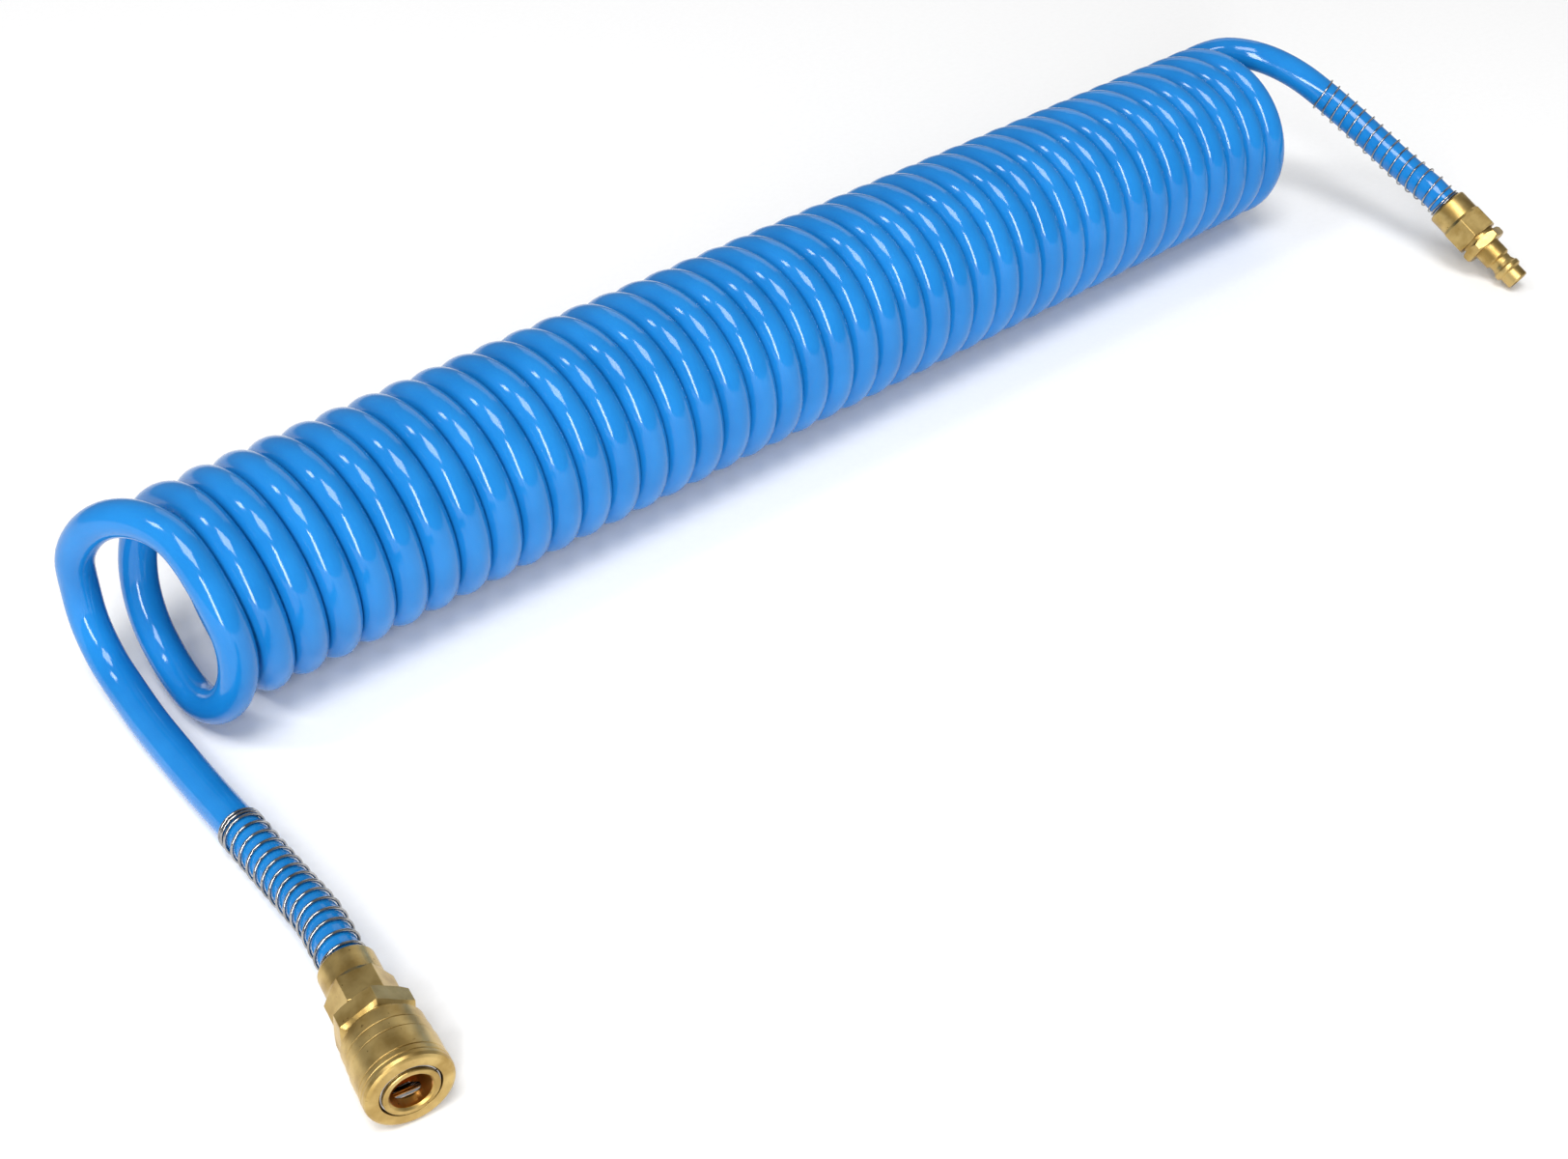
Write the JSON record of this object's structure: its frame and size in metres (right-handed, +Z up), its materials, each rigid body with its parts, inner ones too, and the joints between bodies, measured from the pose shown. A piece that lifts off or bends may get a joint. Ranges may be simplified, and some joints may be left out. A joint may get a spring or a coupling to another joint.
{
  "type": "coiled air hose",
  "caption": "Coiled plastic air hose in a tight helical coil, with a brass quick coupler on one tail, a male plug on the other, and a wire bend guard behind each.",
  "frame": {"origin": "middle of the footprint, on the floor that the coil lies on", "axes": "+X along the coil from the coupler end to the plug end, +Z up"},
  "size_m": [0.5866, 0.2224, 0.0752],
  "materials": {
    "hose_blue": "glossy, slightly translucent blue",
    "brass": "satin, turned and milled",
    "steel": "bright drawn wire",
    "rubber": "matte black"
  },
  "bodies": {
    "hose_assembly": {"hose_coil": "hose_blue", "hose_tail_coupler": "hose_blue", "hose_tail_plug": "hose_blue", "hose_end_coupler": "hose_blue", "hose_end_plug": "hose_blue", "coupler_tail_body": "brass", "socket_body": "brass", "coupler_nut": "brass", "plug_body": "brass", "plug_nut": "brass", "retaining_ring": "steel", "sleeve_spring": "steel", "valve_spring": "steel", "coupler_bend_guard": "steel", "plug_bend_guard": "steel", "plug_seal": "rubber", "body_o_ring": "rubber"},
    "release_sleeve": {"release_sleeve": "brass", "thrust_ring": "steel"},
    "locking_pin_1": {"locking_pin_1": "steel"},
    "locking_pin_2": {"locking_pin_2": "steel"},
    "locking_pin_3": {"locking_pin_3": "steel"},
    "valve": {"valve_poppet": "brass"}
  },
  "joints": [
    {"name": "sleeve_slide", "type": "slide", "parent": "hose_assembly", "child": "release_sleeve", "axis": [0.1908, 0.9816, 0], "range_m": [0, 0.0022], "stiffness_N_per_m": 2500, "springref_m": -0.004, "deforming": ["sleeve_spring"]},
    {"name": "valve_slide", "type": "slide", "parent": "hose_assembly", "child": "valve", "axis": [0.1908, 0.9816, 0], "range_m": [0, 0.0042], "stiffness_N_per_m": 1500, "springref_m": -0.005, "deforming": ["valve_spring"]},
    {"name": "pin_1_slide", "type": "slide", "parent": "hose_assembly", "child": "locking_pin_1", "axis": [0.1691, 0.8699, -0.4633], "range_m": [0, 0.0026]},
    {"name": "pin_2_slide", "type": "slide", "parent": "hose_assembly", "child": "locking_pin_2", "axis": [-0.2247, 0.9465, 0.2316], "range_m": [0, 0.0026]},
    {"name": "pin_3_slide", "type": "slide", "parent": "hose_assembly", "child": "locking_pin_3", "axis": [0.5629, 0.7934, 0.2316], "range_m": [0, 0.0026]}
  ],
  "couplings": [
    {"joint": "pin_1_slide", "follows": "sleeve_slide", "ratio": 1.1284},
    {"joint": "pin_2_slide", "follows": "sleeve_slide", "ratio": 1.1284},
    {"joint": "pin_3_slide", "follows": "sleeve_slide", "ratio": 1.1284}
  ]
}
